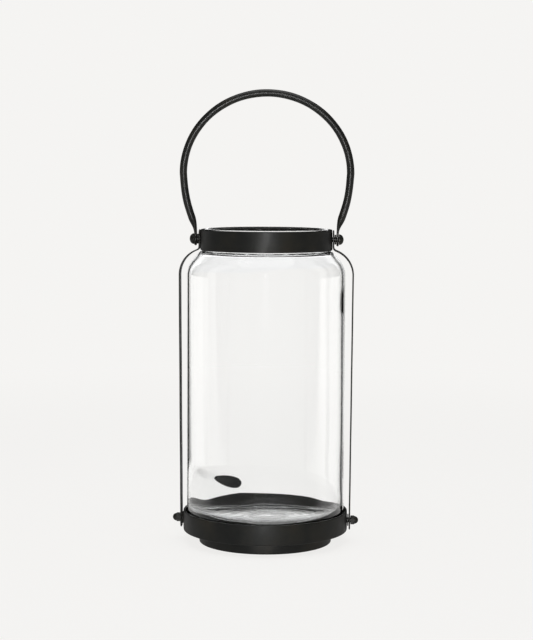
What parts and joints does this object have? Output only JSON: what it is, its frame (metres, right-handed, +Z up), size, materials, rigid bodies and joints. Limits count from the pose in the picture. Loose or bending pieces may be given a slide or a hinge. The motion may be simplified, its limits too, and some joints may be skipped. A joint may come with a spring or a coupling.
{
  "type": "hurricane candle lantern",
  "caption": "Clear thick glass hurricane jar held in a black strap-iron frame with a round base ring, neck band and swinging rod hoop handle.",
  "frame": {"origin": "centre of the foot ring's underside, on the surface the lantern stands on", "axes": "+Z up the glass's middle line; +X through the right strap and the handle's pivots; -Y towards the front, the side opposite the slit in the neck band"},
  "size_m": [0.1876, 0.1652, 0.4524],
  "materials": {
    "painted_iron": "satin black paint, slightly uneven",
    "painted_fastenings": "satin black paint",
    "clear_glass": "clear mouth-blown glass, slightly wavy",
    "soft_liner": "matt"
  },
  "bodies": {
    "frame": {"foot_ring": "painted_iron", "base_plate": "painted_iron", "base_ring": "painted_iron", "neck_band": "painted_iron", "side_strap_left": "painted_iron", "side_strap_right": "painted_iron", "pivot_rivet_left": "painted_fastenings", "pivot_rivet_right": "painted_fastenings", "pivot_washer_left": "painted_fastenings", "pivot_washer_right": "painted_fastenings", "strap_screw_left": "painted_fastenings", "strap_screw_right": "painted_fastenings", "strap_washer_left": "painted_fastenings", "strap_washer_right": "painted_fastenings", "acorn_nut_left": "painted_fastenings", "acorn_nut_right": "painted_fastenings", "glass_jar": "clear_glass", "neck_liner": "soft_liner", "glass_seat_pad": "soft_liner"},
    "handle": {"handle_hoop": "painted_iron"}
  },
  "joints": [
    {"name": "handle_swing", "type": "hinge", "parent": "frame", "child": "handle", "pos_m": [0, 0, 0.3042], "axis": [1, 0, 0], "range_deg": [-120, 120]}
  ]
}
